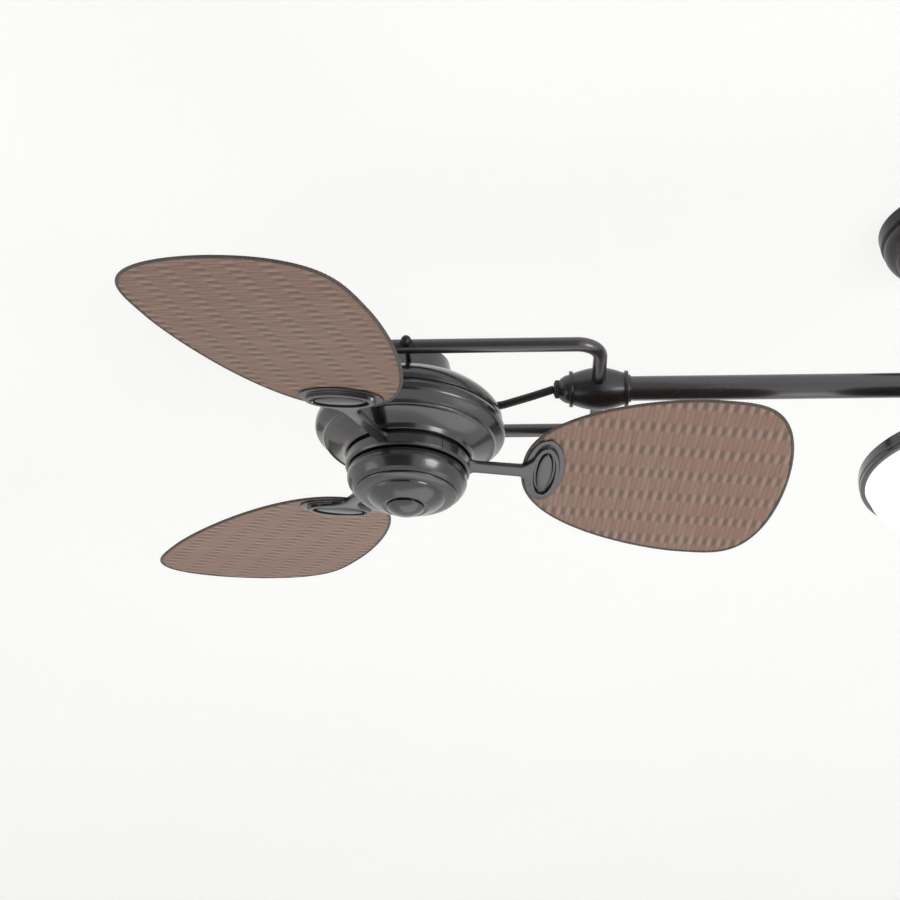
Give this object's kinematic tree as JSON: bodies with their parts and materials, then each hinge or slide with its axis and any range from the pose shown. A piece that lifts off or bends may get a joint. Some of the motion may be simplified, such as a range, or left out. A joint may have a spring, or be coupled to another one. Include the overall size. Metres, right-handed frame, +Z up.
{
  "type": "ceiling fan",
  "caption": "Twin head ceiling fan: a crossbar under a round canopy carries a tilting fan head with woven leaf-shaped blades at each end and an opal bowl light in the middle.",
  "frame": {"origin": "middle of the ceiling bracket's upper face, where it meets the ceiling, between its two screw holes", "axes": "+Z up into the ceiling, +X along the crossbar, Y level across it; metres"},
  "size_m": [1.825, 0.7806, 0.371],
  "materials": {
    "dark_bronze": "satin",
    "black_casting": "satin",
    "dark_screws": "satin",
    "zinc_steel": "satin",
    "rotor_metal": "satin",
    "stator_copper": "satin",
    "black_plate": "matte",
    "black_plastic": "satin",
    "black_cable": "satin",
    "wicker": "matte",
    "opal_glass": "satin",
    "lamp_glass": "gloss",
    "white_plastic": "satin"
  },
  "bodies": {
    "frame": {"ceiling_bracket": "zinc_steel", "canopy": "dark_bronze", "cover_screws": "dark_screws", "hanger_ball": "black_casting", "downrod": "dark_bronze", "hub": "dark_bronze", "set_screws": "dark_screws", "light_pan": "dark_bronze", "light_ring": "dark_bronze", "glass_bowl": "opal_glass", "lamp_holders": "white_plastic", "lamps": "lamp_glass", "pivot_bolts": "zinc_steel", "pivot_nuts": "dark_screws", "bar_l": "dark_bronze", "barrel_l": "black_casting", "gland_l": "black_plastic", "fork_arms_l": "dark_bronze", "lead_l": "black_cable", "bar_r": "dark_bronze", "barrel_r": "black_casting", "gland_r": "black_plastic", "fork_arms_r": "dark_bronze", "lead_r": "black_cable"},
    "head_left": {"tilt_block_l": "black_casting", "bell_l": "dark_bronze", "shaft_l": "zinc_steel", "top_cover_l": "dark_bronze", "motor_housing_l": "dark_bronze", "stator_l": "stator_copper", "switch_plate_l": "black_plate", "switch_housing_l": "dark_bronze", "cap_l": "dark_bronze", "finial_l": "dark_bronze"},
    "spinner_left": {"bearings_l": "zinc_steel", "rotor_l": "rotor_metal", "flywheel_l": "rotor_metal", "irons_l": "dark_bronze", "rotor_screws_l": "dark_screws", "blade_1_l": "wicker", "blade_2_l": "wicker", "blade_3_l": "wicker"},
    "head_right": {"tilt_block_r": "black_casting", "bell_r": "dark_bronze", "shaft_r": "zinc_steel", "top_cover_r": "dark_bronze", "motor_housing_r": "dark_bronze", "stator_r": "stator_copper", "switch_plate_r": "black_plate", "switch_housing_r": "dark_bronze", "cap_r": "dark_bronze", "finial_r": "dark_bronze"},
    "spinner_right": {"bearings_r": "zinc_steel", "rotor_r": "rotor_metal", "flywheel_r": "rotor_metal", "irons_r": "dark_bronze", "rotor_screws_r": "dark_screws", "blade_1_r": "wicker", "blade_2_r": "wicker", "blade_3_r": "wicker"}
  },
  "joints": [
    {"name": "left_head_tilt", "type": "hinge", "parent": "frame", "child": "head_left", "pos_m": [-0.6, 0, -0.2], "axis": [0, 1, 0], "range_deg": [-6, 25], "deforming": ["lead_l"]},
    {"name": "left_fan_spin", "type": "hinge", "parent": "head_left", "child": "spinner_left", "pos_m": [-0.6, 0, -0.2], "axis": [0.0314, 0, 0.9995], "continuous": true},
    {"name": "right_head_tilt", "type": "hinge", "parent": "frame", "child": "head_right", "pos_m": [0.6, 0, -0.2], "axis": [0, -1, 0], "range_deg": [-6, 25], "deforming": ["lead_r"]},
    {"name": "right_fan_spin", "type": "hinge", "parent": "head_right", "child": "spinner_right", "pos_m": [0.6, 0, -0.2], "axis": [-0.0314, 0, 0.9995], "continuous": true}
  ]
}
